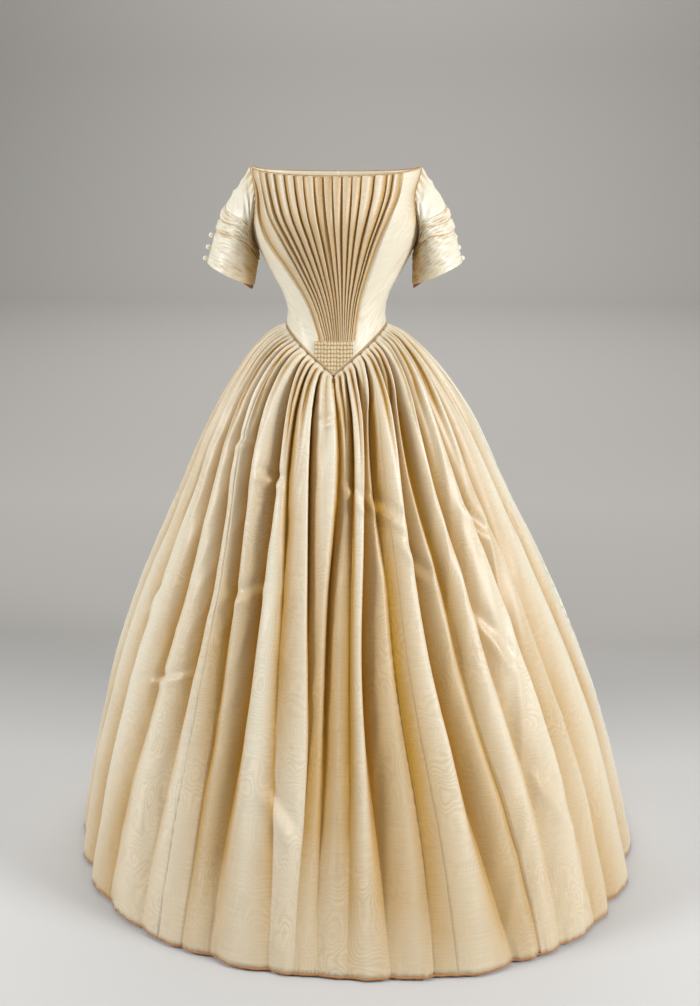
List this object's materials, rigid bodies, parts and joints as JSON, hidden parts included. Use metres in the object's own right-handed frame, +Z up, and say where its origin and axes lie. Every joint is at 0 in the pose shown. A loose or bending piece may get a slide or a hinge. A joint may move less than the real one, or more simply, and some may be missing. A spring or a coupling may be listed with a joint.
{
  "type": "wedding dress",
  "caption": "Full-length silk gown with a low wide neckline, fan-pleated pointed bodice, short tucked sleeves and a full pleated skirt, hollow as worn.",
  "frame": {"origin": "centre of the waist, where the wearer holds the dress up", "axes": "+Z up, the front faces -Y, the wearer's left is +X"},
  "size_m": [1.0959, 1.1396, 1.2951],
  "materials": {
    "silk": "watered silk with fine ribs",
    "shirred_silk": "watered silk gathered small",
    "piping": "silk over cord",
    "button": "silk over a round mould",
    "hem_braid": "woven wool braid",
    "facing": "plain brown cotton"
  },
  "bodies": {
    "root": {"bodice_back_left": "silk", "bodice_back_right": "silk", "bodice_front": "silk", "hem_braid": "hem_braid", "neck_piping": "piping", "shirred_point": "shirred_silk", "skirt_front": "silk", "skirt_left_back": "silk", "skirt_left_side": "silk", "skirt_middle_back": "silk", "skirt_right_back": "silk", "skirt_right_side": "silk", "sleeve_band_left": "silk", "sleeve_band_right": "silk", "sleeve_button_left_1": "button", "sleeve_button_left_2": "button", "sleeve_button_left_3": "button", "sleeve_button_right_1": "button", "sleeve_button_right_2": "button", "sleeve_button_right_3": "button", "sleeve_facing_left": "facing", "sleeve_facing_right": "facing", "sleeve_upper_left": "silk", "sleeve_upper_right": "silk", "waist_piping": "piping"}
  },
  "joints": []
}
